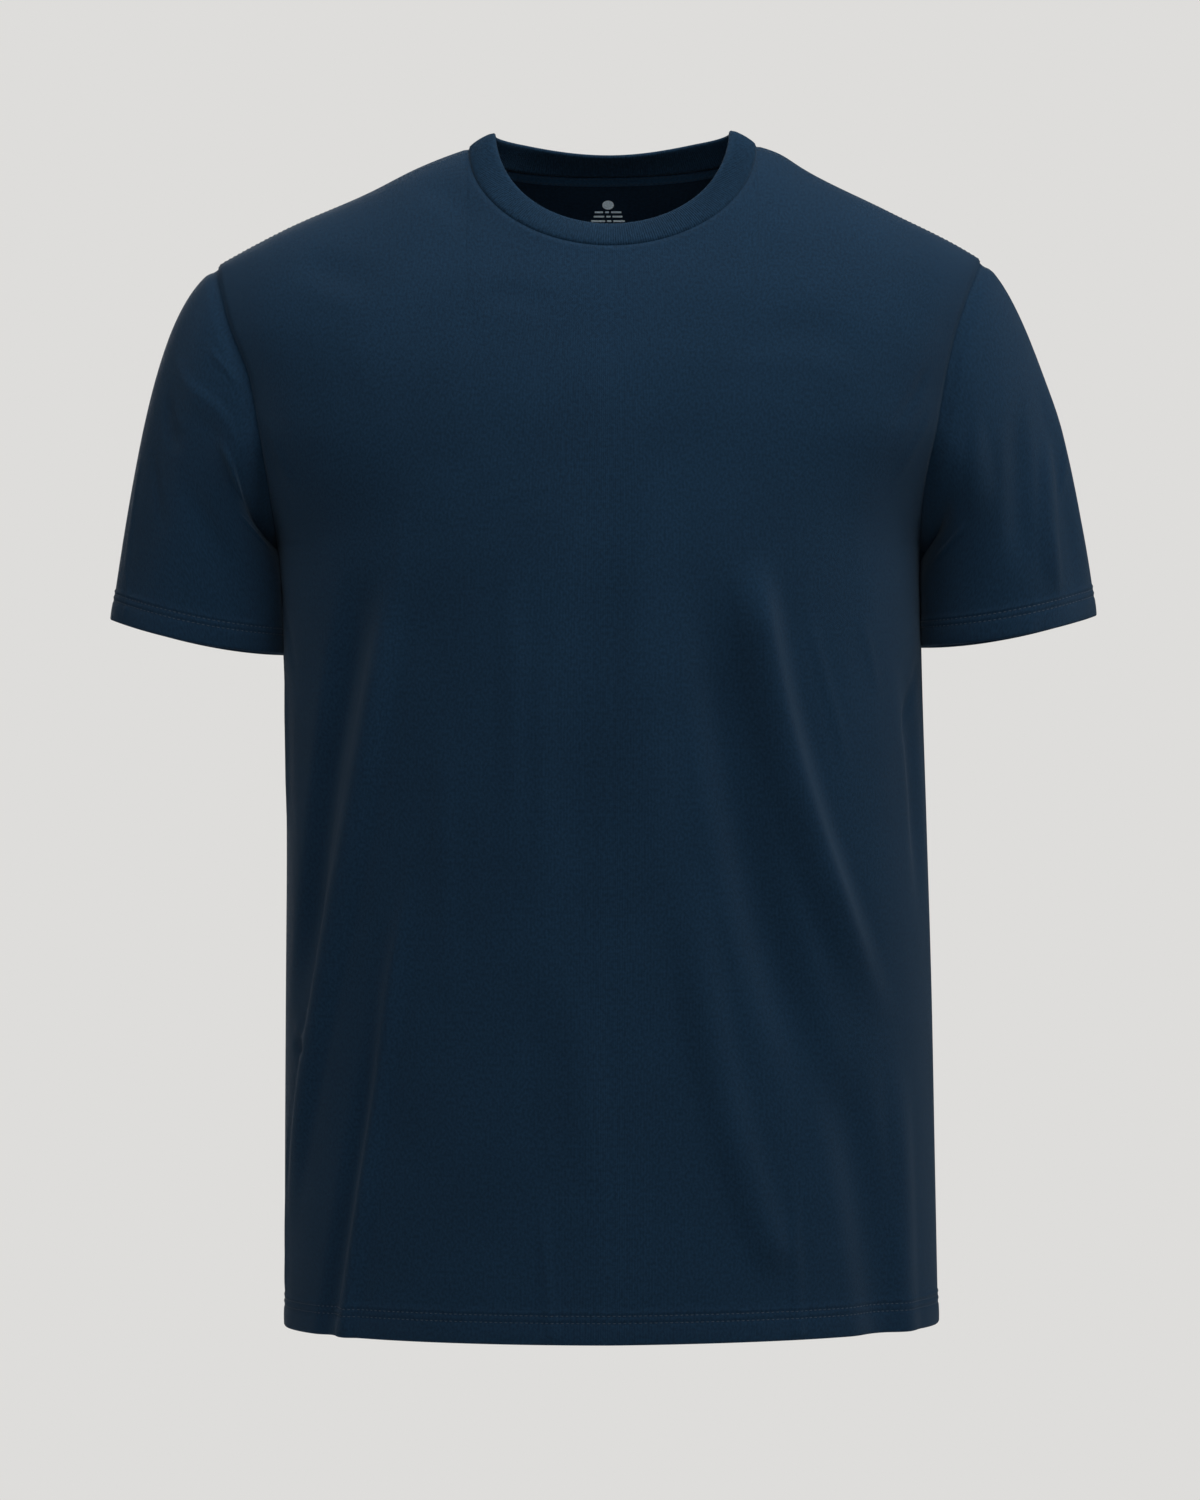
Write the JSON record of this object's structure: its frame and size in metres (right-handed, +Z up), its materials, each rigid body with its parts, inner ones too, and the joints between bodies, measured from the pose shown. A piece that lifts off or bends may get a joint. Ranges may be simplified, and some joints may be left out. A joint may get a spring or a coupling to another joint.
{
  "type": "crew neck t-shirt",
  "caption": "Short-sleeved crew neck t-shirt in thin jersey, hollow and filled out as worn, with a ribbed neckband, straight hem and open cuffs.",
  "frame": {"origin": "between the two shoulder seams, at the height where the neckline meets them, which is where the garment hangs on its wearer's shoulders", "axes": "+Z up out of the neck, -Y out of the front, +X towards the wearer's left sleeve"},
  "size_m": [0.5871, 0.2605, 0.7097],
  "materials": {
    "body_front_jersey": "matte navy cotton jersey",
    "body_back_jersey": "matte navy cotton jersey",
    "sleeve_right_jersey": "matte navy cotton jersey",
    "sleeve_left_jersey": "matte navy cotton jersey",
    "neck_rib_knit": "matte navy rib knit",
    "neck_tape_jersey": "matte navy cotton jersey"
  },
  "bodies": {
    "root": {"body_front": "body_front_jersey", "body_back": "body_back_jersey", "sleeve_right": "sleeve_right_jersey", "sleeve_left": "sleeve_left_jersey", "neck_rib": "neck_rib_knit", "neck_tape": "neck_tape_jersey"}
  },
  "joints": []
}
